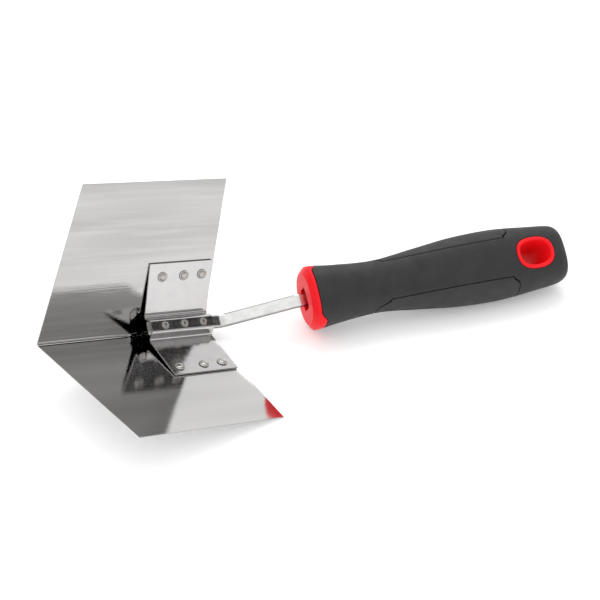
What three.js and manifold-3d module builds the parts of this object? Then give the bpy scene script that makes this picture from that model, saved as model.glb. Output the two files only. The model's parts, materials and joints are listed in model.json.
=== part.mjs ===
// Inside corner trowel: a folded V blade, a riveted saddle bracket, a cranked steel shank
// and a moulded two-material handle with a hang hole. Millimetres, +Z up.
//
// Everything is drawn in the tool's own frame and then laid down as one group:
//   x runs along the blade's crease, from its nose to the handle,
//   y runs across the tool, whose halves mirror each other about y = 0,
//   z points out of the V, to the side that the handle is on.

import * as THREE from "three";
import { mergeVertices } from "three/addons/utils/BufferGeometryUtils.js";
import Module from "manifold-3d";

const wasm = await Module();
wasm.setup();

// Driving dimensions
const inch = 25.4;
const gap = 0.3;                        // play kept between neighbouring pieces
const past = 1;                         // how far a cutting shape runs past what it cuts

// Blade
const bladeLength = 4 * inch;           // crease line
const wingWidth = 3.5 * inch;           // crease to free edge
const wingAngle = 48.6 * Math.PI / 180; // each wing from the middle plane
const bladeSheet = 0.5;
const bladeBend = 2;
const noseSlant = 15.3;                 // how far the free edge starts behind the nose

// Bracket: a hat section from end to end, given from its middle to its free edge. The half
// widths of its web and of the foot of its sides run to the middle of the sheet.
const bracketLength = 38.8;
const bracketRear = bladeLength - 1.6;
const bracketFront = bracketRear - bracketLength;
const bracketSheet = 0.9;
const bracketBend = 1.6;
const webHalfWidth = 3.43;
const webTop = 15.1;
const footHalfWidth = 6.23;
const footTop = 9.9;
const flangeLanding = 29;               // where the flange comes down to the wing
const flangeEdge = 41.9;

// Rivets: places measured from the bracket's front edge, rows along the wing from the crease
const wingRows = {
  left: { side: 1, line: 34.2, places: [8.3, 21.6, 32.9] },
  right: { side: -1, line: 36, places: [5.6, 20.6, 32] },
};
const tangRivets = [8.6, 20.6, 32.5];
const stemRadius = 1.6;
const wingHead = { radius: 2.65, height: 0.8 };
const tangHead = { radius: 2.15, height: 0.7 };
const domeFoot = 0.45;                  // share of a head's height at which its dome starts
const domeTop = 0.6;                    // share of its radius that its flat top has

// Shank: a flat bar, cranked twice
const barWidth = 7.4;
const barThickness = 3.6;
const barEdge = 1.2;                    // rounding of the bar's four long edges
const barBend = 9;
const crankFront = 107.5;               // where the bar leaves the bracket's plane
const crankRear = -4.2;                 // where it meets the handle's line, from the front face
const barOffset = -1;                   // bar's middle line below the handle's axis
const tangDepth = 75;                   // how far the bar goes into the handle

// Handle, in its own frame: x along the axis from the front face, z out of the top face
const handlePitch = 18.5 * Math.PI / 180;
const handleFront = { x: 144.3, z: 42.1 };
const handleForm = new THREE.CatmullRomCurve3([
  // distance from the front face, half width, half thickness
  new THREE.Vector3(0, 14.9, 12.9),
  new THREE.Vector3(2.4, 17.4, 15.0),
  new THREE.Vector3(6, 17.6, 15.1),
  new THREE.Vector3(18, 16.0, 14.4),
  new THREE.Vector3(42, 14.5, 13.2),
  new THREE.Vector3(67, 17.1, 14.6),
  new THREE.Vector3(91, 19.7, 15.8),
  new THREE.Vector3(116, 20.2, 15.7),
  new THREE.Vector3(139, 18.2, 14.4),
  new THREE.Vector3(149, 17.2, 13.3),
  new THREE.Vector3(153.3, 16.1, 12.0),
  new THREE.Vector3(155.9, 13.8, 10.0),
  new THREE.Vector3(157.2, 9.6, 6.4),
], false, "catmullrom", 0.5);
const squareness = 2.5;                 // superellipse exponent of the cross-section
const handleSides = 40;
const handleRings = 36;

const sleeveWall = 5.4;                 // soft sleeve over the rigid core
const coreEnd = 0.8;                    // share of the handle's form that the core fills
const coreClear = 0.004;                // share by which its cavity is longer
const zoneReach = 30;                   // how far the zones below run out past the handle
const padWall = 2.2;
const noseTop = 4.2;                    // length of the nose at the top and bottom faces
const noseSide = 7.6;                   // length of the nose at the two sides
const noseStep = { from: 12.5, to: 7.5 }; // heights between which it grows longer
const slot = { width: 12, height: 8, depth: 12, corner: 2 };
const padFront = { outer: 38, inner: 46 };
const padRear = { outer: 123, inner: 119 };
const padLine = { front: 11, rear: 11.6 };
const padSlant = 4;                     // width over which its ends run slanted

// Hang hole, through the handle from its top face to its bottom face
const holeAt = 135.6;
const holeMouth = { length: 18.8, width: 13.9 };
const holeFoot = { length: 9, width: 7 };
const holeSides = 40;
const holeReach = 16;                   // height of its mouth and foot from the handle's axis
const linerRim = 2.3;                   // width of the liner's rim round the mouth
const linerProud = 0.4;                 // how far the rim stands above the grip

// Finishes
const finish = {
  blade: { color: 0xc4c5c7, metalness: 1, roughness: 0.22 },
  bracket: { color: 0xb9b8b9, metalness: 1, roughness: 0.28 },
  bar: { color: 0xd0d2d0, metalness: 1, roughness: 0.35 },
  rivet: { color: 0xb4b1aa, metalness: 1, roughness: 0.32 },
  core: { color: 0xe8202c, metalness: 0, roughness: 0.38 },
  grip: { color: 0x2c2c2c, metalness: 0, roughness: 0.72 },
  pad: { color: 0x333333, metalness: 0, roughness: 0.8 },
};

// ---------------------------------------------------------------- solids and sheet metal

function solidOf(geometry) {
  geometry.deleteAttribute("normal");
  geometry.deleteAttribute("uv");
  const merged = mergeVertices(geometry, 1e-4);
  return new wasm.Manifold(new wasm.Mesh({
    numProp: 3,
    vertProperties: Float32Array.from(merged.attributes.position.array),
    triVerts: Uint32Array.from(merged.index.array),
  }));
}

function geometryOf(solid) {
  const mesh = solid.getMesh();
  const geometry = new THREE.BufferGeometry();
  geometry.setAttribute("position", new THREE.BufferAttribute(mesh.vertProperties, 3));
  geometry.setIndex(new THREE.BufferAttribute(mesh.triVerts, 1));
  geometry.computeVertexNormals();
  return geometry;
}

function named(name, solid, look) {
  const mesh = new THREE.Mesh(geometryOf(solid), new THREE.MeshStandardMaterial(look));
  mesh.name = name;
  return mesh;
}

// An outline in the y-z plane, drawn out from x = start to x = end.
function alongX(outline, start, end) {
  const geometry = new THREE.ExtrudeGeometry(outline, { depth: end - start, bevelEnabled: false });
  geometry.applyMatrix4(new THREE.Matrix4().makeBasis(
    new THREE.Vector3(0, 1, 0), new THREE.Vector3(0, 0, 1), new THREE.Vector3(1, 0, 0)));
  return solidOf(geometry.translate(start, 0, 0));
}

// An outline in the x-z plane, drawn out to both sides of y = 0; edge rounds its rims.
function alongY(outline, width, edge = 0) {
  const geometry = new THREE.ExtrudeGeometry(outline, {
    depth: width - 2 * edge,
    bevelEnabled: edge > 0,
    bevelSize: edge,
    bevelThickness: edge,
    bevelSegments: 2,
  });
  geometry.translate(0, 0, edge - width / 2);
  return solidOf(geometry.rotateX(Math.PI / 2));
}

// An outline in the x-y plane, drawn out along z.
function alongZ(outline, bottom, top) {
  const geometry = new THREE.ExtrudeGeometry(outline, { depth: top - bottom, bevelEnabled: false });
  return solidOf(geometry.translate(0, 0, bottom));
}

// The middle line of a bent strip: straight legs joined by arcs of the bend radius.
function bentLine(points, bend) {
  const line = new THREE.Path().moveTo(points[0].x, points[0].y);
  for (let i = 1; i < points.length - 1; i++) {
    const before = points[i].clone().sub(points[i - 1]).normalize();
    const after = points[i + 1].clone().sub(points[i]).normalize();
    const turn = Math.acos(before.dot(after));
    const reach = bend * Math.tan(turn / 2);
    const from = points[i].clone().addScaledVector(before, -reach);
    const to = points[i].clone().addScaledVector(after, reach);
    line.lineTo(from.x, from.y);
    line.quadraticCurveTo(points[i].x, points[i].y, to.x, to.y);
  }
  const last = points[points.length - 1];
  line.lineTo(last.x, last.y);
  return line.getPoints(4);
}

// The outline of a strip of one thickness on both sides of a bent middle line.
function stripOutline(points, bend, thickness) {
  const line = bentLine(points, bend);
  const side = (sign) => line.map((point, i) => {
    const ahead = line[Math.min(i + 1, line.length - 1)].clone().sub(line[Math.min(i, line.length - 2)]);
    const behind = line[Math.max(i, 1)].clone().sub(line[Math.max(i - 1, 0)]);
    ahead.normalize();
    behind.normalize();
    const across = new THREE.Vector2(-ahead.y - behind.y, ahead.x + behind.x).normalize();
    const stretch = 1 / across.dot(new THREE.Vector2(-ahead.y, ahead.x));
    return point.clone().addScaledVector(across, sign * stretch * thickness / 2);
  });
  return new THREE.Shape([...side(1), ...side(-1).reverse()]);
}

// A point of the cross-section: along a wing from the crease, and lifted off its inner face.
function onWing(side, along, lift) {
  const y = along * Math.sin(wingAngle) - lift * Math.cos(wingAngle);
  const z = along * Math.cos(wingAngle) + lift * Math.sin(wingAngle);
  return new THREE.Vector2(side * y, z);
}

// ---------------------------------------------------------------- blade, bracket, rivets

// Lays a solid of revolution about z on a wing, with z = 0 on the wing's inner face.
function placeOnWing(solid, { side, line }, x) {
  const foot = onWing(side, line, 0);
  const tilt = side * (Math.PI / 2 - wingAngle) * 180 / Math.PI;
  return solid.rotate([tilt, 0, 0]).translate([x, foot.x, foot.y]);
}

// A solid of revolution about z from an outline that starts and ends on the axis.
function turned(points, sides) {
  const geometry = new THREE.LatheGeometry(points.map(([r, h]) => new THREE.Vector2(r, h)), sides);
  return solidOf(geometry.rotateX(Math.PI / 2));
}

// A domed head with a flat ring round its foot, and a plain stem below it.
function rivetOutline(head, seat, stemEnd) {
  return [
    [0, stemEnd],
    [stemRadius, stemEnd],
    [stemRadius, seat],
    [head.radius, seat],
    [head.radius, seat + head.height * domeFoot],
    [head.radius * domeTop, seat + head.height],
    [0, seat + head.height],
  ];
}

const flangeSeat = gap + bracketSheet + gap;

function wingRivet() {
  return turned(rivetOutline(wingHead, flangeSeat, -bladeSheet), 16);
}

function rivetHole(bottom, top) {
  const radius = stemRadius + gap;
  return turned([[0, bottom], [radius, bottom], [radius, top], [0, top]], 16);
}

function drilledForWings(solid) {
  const hole = rivetHole(-past - bladeSheet, flangeSeat + past);
  let drilled = solid;
  for (const row of Object.values(wingRows)) {
    for (const place of row.places) {
      drilled = drilled.subtract(placeOnWing(hole, row, bracketFront + place));
    }
  }
  return drilled;
}

function drilledForTang(solid) {
  const hole = rivetHole(0, webTop + past);
  return tangRivets.reduce(
    (drilled, place) => drilled.subtract(hole.translate([bracketFront + place, 0, 0])), solid);
}

function blade() {
  const fold = [
    onWing(-1, wingWidth, -bladeSheet / 2),
    new THREE.Vector2(0, -bladeSheet / 2 / Math.sin(wingAngle)),
    onWing(1, wingWidth, -bladeSheet / 2),
  ];
  const sheet = alongX(stripOutline(fold, bladeBend, bladeSheet), 0, bladeLength);
  const height = wingWidth * Math.cos(wingAngle);
  const sideView = new THREE.Shape([
    new THREE.Vector2(0, -past),
    new THREE.Vector2(bladeLength + past, -past),
    new THREE.Vector2(bladeLength + past, height + past),
    new THREE.Vector2(noseSlant, height),
    new THREE.Vector2(0, 0),
  ]);
  const slanted = sheet.intersect(alongY(sideView, 2 * wingWidth));
  return drilledForWings(slanted);
}

function bracket() {
  const middle = bracketSheet / 2;
  const half = [
    new THREE.Vector2(webHalfWidth, webTop - middle),
    new THREE.Vector2(footHalfWidth, footTop - middle),
    onWing(1, flangeLanding, gap + middle),
    onWing(1, flangeEdge, gap + middle),
  ];
  const mirrored = half.map((point) => new THREE.Vector2(-point.x, point.y)).reverse();
  const hat = stripOutline([...mirrored, ...half], bracketBend, bracketSheet);
  return drilledForTang(drilledForWings(alongX(hat, bracketFront, bracketRear)));
}

// ---------------------------------------------------------------- shank

// A point of the handle's middle plane in the tool's x-z plane.
function fromHandle(along, above) {
  return new THREE.Vector2(
    handleFront.x + along * Math.cos(handlePitch) - above * Math.sin(handlePitch),
    handleFront.z + along * Math.sin(handlePitch) + above * Math.cos(handlePitch));
}

const barHeight = webTop - bracketSheet - gap - barThickness / 2;

// Middle line of the bar: flat under the bracket, cranked up, then along the handle.
function shankLine(tangEnd) {
  return [
    new THREE.Vector2(bracketFront + barEdge, barHeight),
    new THREE.Vector2(crankFront, barHeight),
    fromHandle(crankRear, barOffset),
    fromHandle(tangEnd, barOffset),
  ];
}

function shank() {
  const flat = barThickness - 2 * barEdge;
  const outline = stripOutline(shankLine(tangDepth - barEdge), barBend, flat);
  return drilledForTang(alongY(outline, barWidth, barEdge));
}

// The headed rivet that holds the tang: one head on the web, one formed under the bar.
function tangRivet() {
  const seat = webTop + gap;
  const foot = barHeight - barThickness / 2 - gap;
  const outline = rivetOutline(tangHead, seat, foot);
  const formedHead = [
    [0, foot - tangHead.height],
    [tangHead.radius * domeTop, foot - tangHead.height],
    [tangHead.radius, foot],
    [stemRadius, foot],
  ];
  return turned([...formedHead, ...outline.slice(2)], 16);
}

// ---------------------------------------------------------------- handle

function power(value, exponent) {
  return Math.sign(value) * Math.abs(value) ** exponent;
}

// The handle's outer form, drawn in on all sides by inset, up to a share of its length.
function handleBody(inset = 0, share = 1) {
  const profile = [new THREE.Vector2(0, 0)];
  for (let ring = 0; ring <= handleRings; ring++) {
    profile.push(new THREE.Vector2(1, share * ring / handleRings));
  }
  profile.push(new THREE.Vector2(0, share));
  const geometry = new THREE.LatheGeometry(profile, handleSides);
  const position = geometry.attributes.position;
  for (let i = 0; i < position.count; i++) {
    const across = position.getZ(i);
    const up = position.getX(i);
    const station = handleForm.getPoint(position.getY(i));
    const halfWidth = Math.max(station.y - inset, 1);
    const halfHeight = Math.max(station.z - inset, 1);
    position.setXYZ(i, station.x,
      halfWidth * power(across, 2 / squareness), halfHeight * power(up, 2 / squareness));
  }
  return solidOf(geometry);
}

// The front zone that the nose fills: it reaches further back on the two sides.
function noseZone(back) {
  const outline = new THREE.Shape([
    new THREE.Vector2(-past, -zoneReach),
    new THREE.Vector2(noseTop + back, -zoneReach),
    new THREE.Vector2(noseTop + back, -noseStep.from),
    new THREE.Vector2(noseSide + back, -noseStep.to),
    new THREE.Vector2(noseSide + back, noseStep.to),
    new THREE.Vector2(noseTop + back, noseStep.from),
    new THREE.Vector2(noseTop + back, zoneReach),
    new THREE.Vector2(-past, zoneReach),
  ]);
  return alongY(outline, 2 * zoneReach);
}

// The zone of one side pad, seen from the top; grown widens it on all sides.
function padZone(side, grown) {
  const outline = new THREE.Shape([
    new THREE.Vector2(padFront.outer - grown, side * zoneReach),
    new THREE.Vector2(padFront.outer - grown, side * (padLine.front + padSlant)),
    new THREE.Vector2(padFront.inner - grown, side * (padLine.front - grown)),
    new THREE.Vector2(padRear.inner + grown, side * (padLine.rear - grown)),
    new THREE.Vector2(padRear.outer + grown, side * (padLine.rear + padSlant)),
    new THREE.Vector2(padRear.outer + grown, side * zoneReach),
  ]);
  return alongZ(outline, -zoneReach, zoneReach);
}

// The outline of the hang hole or its liner, as square as the handle's own section.
function oval(length, width) {
  const points = [];
  for (let i = 0; i < holeSides; i++) {
    const angle = 2 * Math.PI * i / holeSides;
    points.push(new THREE.Vector2(
      holeAt + length / 2 * power(Math.cos(angle), 2 / squareness),
      width / 2 * power(Math.sin(angle), 2 / squareness)));
  }
  return new THREE.Shape(points);
}

// The hang hole, which narrows from its mouth in the top face to its foot.
function hangHole() {
  const geometry = new THREE.ExtrudeGeometry(oval(1, 1), { depth: 1, bevelEnabled: false });
  const position = geometry.attributes.position;
  for (let i = 0; i < position.count; i++) {
    const rise = position.getZ(i);
    const length = THREE.MathUtils.lerp(holeFoot.length, holeMouth.length, rise);
    const width = THREE.MathUtils.lerp(holeFoot.width, holeMouth.width, rise);
    position.setXYZ(i, holeAt + (position.getX(i) - holeAt) * length,
      position.getY(i) * width, (2 * rise - 1) * holeReach);
  }
  return solidOf(geometry);
}

function linerZone(grown) {
  const length = holeMouth.length + 2 * linerRim + 2 * grown;
  const width = holeMouth.width + 2 * linerRim + 2 * grown;
  return alongZ(oval(length, width), -holeReach, holeReach);
}

function tangSocket() {
  const half = new THREE.Vector2(slot.width / 2, slot.height / 2);
  const mouth = new THREE.Shape();
  mouth.moveTo(-half.x + slot.corner, -half.y);
  mouth.lineTo(half.x - slot.corner, -half.y);
  mouth.quadraticCurveTo(half.x, -half.y, half.x, -half.y + slot.corner);
  mouth.lineTo(half.x, half.y - slot.corner);
  mouth.quadraticCurveTo(half.x, half.y, half.x - slot.corner, half.y);
  mouth.lineTo(-half.x + slot.corner, half.y);
  mouth.quadraticCurveTo(-half.x, half.y, -half.x, half.y - slot.corner);
  mouth.lineTo(-half.x, -half.y + slot.corner);
  mouth.quadraticCurveTo(-half.x, -half.y, -half.x + slot.corner, -half.y);
  const bore = new THREE.BoxGeometry(tangDepth, barWidth + 2 * gap, barThickness + 2 * gap);
  bore.translate(tangDepth / 2 + gap, 0, barOffset);
  const mouthPoints = new THREE.Shape(mouth.getPoints(3).slice(0, -1));
  return alongX(mouthPoints, -past, slot.depth).add(solidOf(bore));
}

function handleCore(body) {
  const nose = body.intersect(noseZone(0));
  const rod = handleBody(sleeveWall + gap, coreEnd);
  const liner = handleBody(-linerProud).intersect(linerZone(0));
  return nose.add(rod).add(liner).subtract(tangSocket()).subtract(hangHole());
}

function gripSleeve(body) {
  const cavity = handleBody(sleeveWall, coreEnd + coreClear);
  const padRecess = padZone(1, gap).add(padZone(-1, gap)).subtract(handleBody(padWall + gap));
  return body.subtract(noseZone(gap)).subtract(cavity)
    .subtract(linerZone(gap)).subtract(padRecess);
}

function sidePad(body, side) {
  return body.intersect(padZone(side, 0)).subtract(handleBody(padWall));
}

function handle() {
  const group = new THREE.Group();
  const body = handleBody();
  group.add(named("handle_core", handleCore(body), finish.core));
  group.add(named("grip_sleeve", gripSleeve(body), finish.grip));
  group.add(named("side_pad_left", sidePad(body, 1), finish.pad));
  group.add(named("side_pad_right", sidePad(body, -1), finish.pad));
  group.position.set(handleFront.x, 0, handleFront.z);
  group.rotation.y = -handlePitch;
  return group;
}

// ---------------------------------------------------------------- the whole tool

function rivets() {
  const group = new THREE.Group();
  const wing = wingRivet();
  for (const [side, row] of Object.entries(wingRows)) {
    row.places.forEach((place, i) => {
      const solid = placeOnWing(wing, row, bracketFront + place);
      group.add(named(`wing_rivet_${side}_${i + 1}`, solid, finish.rivet));
    });
  }
  const tang = tangRivet();
  tangRivets.forEach((place, i) => {
    const solid = tang.translate([bracketFront + place, 0, 0]);
    group.add(named(`tang_rivet_${i + 1}`, solid, finish.rivet));
  });
  return group;
}

// The furthest point of a group against a direction.
function lowestPoint(group, up) {
  let lowest = null;
  group.updateMatrixWorld(true);
  group.traverse((piece) => {
    const position = piece.geometry?.attributes.position;
    for (let i = 0; position && i < position.count; i++) {
      const point = new THREE.Vector3().fromBufferAttribute(position, i).applyMatrix4(piece.matrixWorld);
      if (!lowest || point.dot(up) < lowest.dot(up)) {
        lowest = point;
      }
    }
  });
  return lowest;
}

// Lays the tool down as it lies on a table: on the rear edge of its right wing and on
// the handle's butt, with the origin on the table, below the middle of the tool's box.
function layDown(tool, grip) {
  const heel = new THREE.Vector3(bladeLength, 0, -bladeSheet / Math.sin(wingAngle));
  const tip = onWing(-1, wingWidth, -bladeSheet);
  const wingCorner = new THREE.Vector3(bladeLength, tip.x, tip.y);
  let up = new THREE.Vector3(0, 0, 1);
  for (let round = 0; round < 6; round++) {
    const butt = lowestPoint(grip, up);
    up = wingCorner.clone().sub(heel).cross(butt.sub(heel)).normalize();
    up.multiplyScalar(Math.sign(up.z));
  }
  const ahead = new THREE.Vector3(1, 0, 0).projectOnPlane(up).normalize();
  const aside = up.clone().cross(ahead);
  const turn = new THREE.Matrix4().makeBasis(ahead, aside, up).transpose();
  tool.quaternion.setFromRotationMatrix(turn);
  const box = new THREE.Box3().setFromObject(tool, true);
  const middle = box.getCenter(new THREE.Vector3());
  tool.position.set(-middle.x, -middle.y, -box.min.z);
}

const tool = new THREE.Group();
const grip = handle();
tool.add(named("blade", blade(), finish.blade));
tool.add(named("bracket", bracket(), finish.bracket));
tool.add(named("shank", shank(), finish.bar));
tool.add(rivets());
tool.add(grip);
layDown(tool, grip);

const trowel = new THREE.Group();
trowel.add(tool);

export default trowel;
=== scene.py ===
import json
import math
from collections import namedtuple

import bmesh
import bpy
import numpy as np
from mathutils import Matrix, Quaternion, Vector


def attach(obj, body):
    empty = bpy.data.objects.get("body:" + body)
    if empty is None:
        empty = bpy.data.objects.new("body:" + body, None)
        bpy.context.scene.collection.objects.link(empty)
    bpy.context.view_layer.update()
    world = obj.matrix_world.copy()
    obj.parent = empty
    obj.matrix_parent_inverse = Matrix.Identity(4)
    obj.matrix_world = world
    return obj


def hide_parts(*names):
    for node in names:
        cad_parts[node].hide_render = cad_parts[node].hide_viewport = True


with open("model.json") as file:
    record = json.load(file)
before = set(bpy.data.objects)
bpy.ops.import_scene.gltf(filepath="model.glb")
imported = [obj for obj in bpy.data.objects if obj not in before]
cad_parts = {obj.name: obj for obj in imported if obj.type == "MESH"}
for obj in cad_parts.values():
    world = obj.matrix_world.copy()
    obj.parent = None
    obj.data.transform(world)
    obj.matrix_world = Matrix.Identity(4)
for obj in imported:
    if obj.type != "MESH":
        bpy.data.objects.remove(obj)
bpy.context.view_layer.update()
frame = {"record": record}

# The looks of the inside corner trowel. Shapes are worked out in millimetres, in the tool's own
# frame: x along the blade's crease from its nose, y across, z out of the V, or in the handle's.
# Each mesh is then put into the row frame, in metres.
MM = 0.001

# Camera: where it looks and how far from it stands, in metres, from which side, and its lens in mm
AIM = Vector((-0.0187, -0.0080, 0.0368))
AZIMUTH = math.radians(-32.05)
ELEVATION = math.radians(35.83)
ROLL = math.radians(1.27)
DISTANCE = 0.88
LENS = 98.64

# Blade, bracket and rivets
BLADE_LENGTH = 101.6
WING_WIDTH = 88.9
SHEET = 0.5
BLADE_BEND = 2.0
NOSE_SLANT = 15.3           # how far back each wing's front edge runs from the crease to its tip
GAP = 0.3                   # between pieces that touch
BRACKET_REAR = 100.0
BRACKET_FRONT = 61.2
BRACKET_SHEET = 0.9
BRACKET_BEND = 1.7
WEB_HALF_WIDTH = 3.43       # to the corner of the sheet's middle line, as is the foot's
WEB_TOP = 15.1
FOOT_HALF_WIDTH = 6.23      # where the bracket's sides end and its flanges begin
FOOT_TOP = 9.9
FLANGE_EDGE = 41.9          # along the wing, from the crease
FLANGE_SEAT = 1.85          # of the rivet heads, above the wing's inner face
# Where each row of wing rivets runs, from the crease, and its places behind the bracket's front
WING_ROWS = {
    "left": {"side": 1, "line": 34.2, "places": (8.3, 21.6, 32.9)},
    "right": {"side": -1, "line": 36.0, "places": (5.6, 20.6, 32.0)},
}
TANG_RIVETS = (8.6, 20.6, 32.5)
STEM_RADIUS = 1.6
RIVET_EDGE = 0.1            # the small rounding of a stem's end and of a head's rim
WING_HEAD = {"radius": 2.85, "height": 0.8}
TANG_HEAD = {"radius": 2.15, "height": 0.4}
UPSET_RADIUS = 2.15         # of the tang rivets' lower ends
UPSET_HEIGHT = 0.7
TURNED_SIDES = 48
PIN_RADIUS = 0.02           # the smallest ring of a turned piece, at its axis

# The left wing's mount is on its outer face, this far behind the nose and up from the crease
LEFT_MOUNT = (45.0, 60.0)

# Shank
BAR_WIDTH = 7.4
BAR_THICKNESS = 3.6
BAR_EDGE = 1.2
BAR_BEND = 9.0
BAR_HEIGHT = WEB_TOP - BRACKET_SHEET - GAP - BAR_THICKNESS / 2
BAR_OFFSET = -1.0           # of the tang in the handle, above the handle's axis
CRANK_FRONT = 107.5         # from the blade's nose
CRANK_REAR = -4.2           # from the handle's front face
TANG_DEPTH = 75.0

# Handle, in its own frame: x along the axis from the front face, z out of the top face
HANDLE_PITCH = math.radians(18.5)
HANDLE_FRONT = Vector((144.3, 0.0, 42.1))      # the middle of its front face
# Distance from the front face, half width, half thickness
HANDLE_FORM = (
    (0, 14.9, 12.9), (2.4, 17.4, 15.0), (6, 17.6, 15.1), (18, 16.0, 14.4), (42, 14.5, 13.2),
    (67, 17.1, 14.6), (91, 19.7, 15.8), (116, 20.2, 15.7), (139, 18.2, 14.4), (149, 17.2, 13.3),
    (153.3, 16.1, 12.0), (155.9, 13.8, 10.0), (157.2, 9.6, 6.4),
)
SQUARENESS = 2.5            # superellipse exponent of the section
SLEEVE_WALL = 5.4
CORE_END = 120.0
CORE_SIDES = 120
NOSE_CHAMFER = 2.3
FACE_SQUARENESS = 2.1
NOSE_TOP = 4.2              # where the nose ends at the top and bottom, and at the sides
NOSE_SIDE = 7.6
NOSE_STEP = (7.5, 12.5)     # heights off the axis between which its end steps from side to top
LEAST_HALF_SIZE = 0.6       # of the section, however far it is set in
FACE_MIDDLE = 0.75          # size of the ring within the flat face, as a share of the face's
MIDDLE_SQUARENESS = 3
# The face's rounded edge: distance from the face, and how far out from the form's own size
FACE_EDGE = ((0.0, -0.5), (0.12, -0.1), (0.35, 0.2))
# The chamfer's rear edge: how far before its end, and how far in across and up
SHOULDER_EDGE = ((0.3, 0.45, 0.4), (0.0, 0.15, 0.12))
SLOT = {"width": 12.0, "height": 8.0, "depth": 12.0}
SLOT_SQUARENESS = 7
# The slot's rounded edge: distance from the face, how far out from its walls, and squareness
SLOT_EDGE = ((0.7, 0.0, SLOT_SQUARENESS), (0.2, 0.15, 6.5), (0.0, 0.6, 6))
BORE_SQUARENESS = 12
PAD_WALL = 2.2
PAD_FRONT = (38.0, 46.0)    # distance of a pad's end in the middle of the side, and at its seams
PAD_REAR = (123.0, 119.0)
PAD_LINE = (11.0, 11.6)     # of the seams from the middle plane, at the pad's front and rear
PAD_SLANT = 4.0             # width over which a pad's end runs from the one to the other
SEAM_LIMIT = 0.82           # share of the half width beyond which no seam runs
# The rounded edge of a recess, from the skin down: how far each of its levels lies from the
# recess's wall, and how far below the skin. The pads' own edge is given from its foot up.
FILLET = ((0.55, 0.0), (0.22, 0.06), (0.05, 0.2), (0.0, 0.45))
PAD_FILLET = ((0.0, PAD_WALL), (0.0, 0.45), (0.05, 0.2), (0.2, 0.06), (0.5, 0.0))
# Rings along the sleeve's neck, the recesses and the pads, and those behind the recesses, which
# are at each tenth row of the form's table
NECK_STEPS = 22
RECESS_STEPS = 40
PAD_STEPS = 46
BUTT_STRIDE = 10
BUTT_FRONT = PAD_REAR[0] + 2    # the first ring behind the recesses is past this distance

# Hang hole: where its middle is, and the length and width of its two ends
HOLE_AT = 135.6
HOLE_MOUTH = (18.8, 13.9)
HOLE_FOOT = (9.0, 7.0)
HOLE_CUTTER_SIDES = 96
CUTTER_REACH = 20.0         # to both sides of the handle's axis
FUNNEL_STEPS = 14
LINER_SIDES = 112
LINER_RIM = 2.3
LINER_DEPTH = 4.0           # how deep the rim and the foot reach into the sleeve
# The liner's rim: out from the rim's outer edge or the hole's own edge, and up off the skin
RIM_OUTSIDE = ((0.0, -LINER_DEPTH), (0.0, -0.3), (-0.08, 0.15), (-0.35, 0.45), (-0.8, 0.6))
RIM_INSIDE = ((1.3, 0.6), (0.75, 0.45), (0.3, 0.1), (0.05, -0.5))
# The liner's foot, likewise
FOOT_INSIDE = ((0.0, -0.6), (0.15, -0.1), (0.6, 0.2))
FOOT_OUTSIDE = ((-0.6, 0.2), (-0.15, 0.0), (0.0, -0.4), (0.0, -LINER_DEPTH))


# ------------------------------------------------------------------ frames

def tool_frame(record):
    """The tool's frame and its wing angle, from the mounts on the outer faces of the two wings."""
    mounts = {mount["name"]: mount for mount in record["mounts"]}
    left = Vector(mounts["left_wing_face"]["axis"])
    right = Vector(mounts["right_wing_face"]["axis"])
    across = (left - right).normalized()
    outward = -(left + right).normalized()
    along = across.cross(outward)
    angle = math.atan2(-left.dot(outward), left.dot(across))
    behind, up = LEFT_MOUNT[0] * MM, LEFT_MOUNT[1] * MM
    lift = SHEET * MM
    origin = (Vector(mounts["left_wing_face"]["pos_m"]) - behind * along
              - (up * math.sin(angle) + lift * math.cos(angle)) * across
              - (up * math.cos(angle) - lift * math.sin(angle)) * outward)
    turn = Matrix((along, across, outward)).transposed().to_4x4()
    return Matrix.Translation(origin) @ turn, angle


TOOL, WING_ANGLE = tool_frame(frame["record"])
HANDLE = (TOOL @ Matrix.Translation(HANDLE_FRONT * MM)
          @ Matrix.Rotation(-HANDLE_PITCH, 4, "Y"))


def on_wing(side, along, lift):
    """A point (y, z) of the cross-section: along a wing from the crease, lifted off its inner face."""
    y = along * math.sin(WING_ANGLE) - lift * math.cos(WING_ANGLE)
    z = along * math.cos(WING_ANGLE) + lift * math.sin(WING_ANGLE)
    return np.array((side * y, z))


# ------------------------------------------------------------------ meshes

def piece(name, points, faces, place):
    """A mesh object in the row frame, from points in millimetres in the frame of its place."""
    mesh = bpy.data.meshes.new(name)
    mesh.from_pydata([place @ (Vector(p) * MM) for p in points], [], faces)
    tidy = bmesh.new()
    tidy.from_mesh(mesh)
    bmesh.ops.remove_doubles(tidy, verts=tidy.verts, dist=0.002 * MM)
    bmesh.ops.recalc_face_normals(tidy, faces=tidy.faces)
    tidy.to_mesh(mesh)
    tidy.free()
    made = bpy.data.objects.new(name, mesh)
    bpy.context.scene.collection.objects.link(made)
    return made


def loft(name, rings, place, around=False):
    """Quads between rings of equal length; the two ends are capped, or joined when around is true."""
    count = len(rings[0])
    points = [p for ring in rings for p in ring]
    faces = []
    for r in range(len(rings) if around else len(rings) - 1):
        after = (r + 1) % len(rings)
        for i in range(count):
            j = (i + 1) % count
            faces.append((r * count + i, r * count + j, after * count + j, after * count + i))
    if not around:
        faces.append(tuple(range(count)))
        faces.append(tuple((len(rings) - 1) * count + i for i in reversed(range(count))))
    return piece(name, points, faces, place)


def settled(made):
    """Applies a piece's modifiers, so that its mesh is final."""
    bpy.context.view_layer.update()
    seen = made.evaluated_get(bpy.context.evaluated_depsgraph_get())
    mesh = bpy.data.meshes.new_from_object(seen)
    made.modifiers.clear()
    made.data = mesh
    return made


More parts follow.
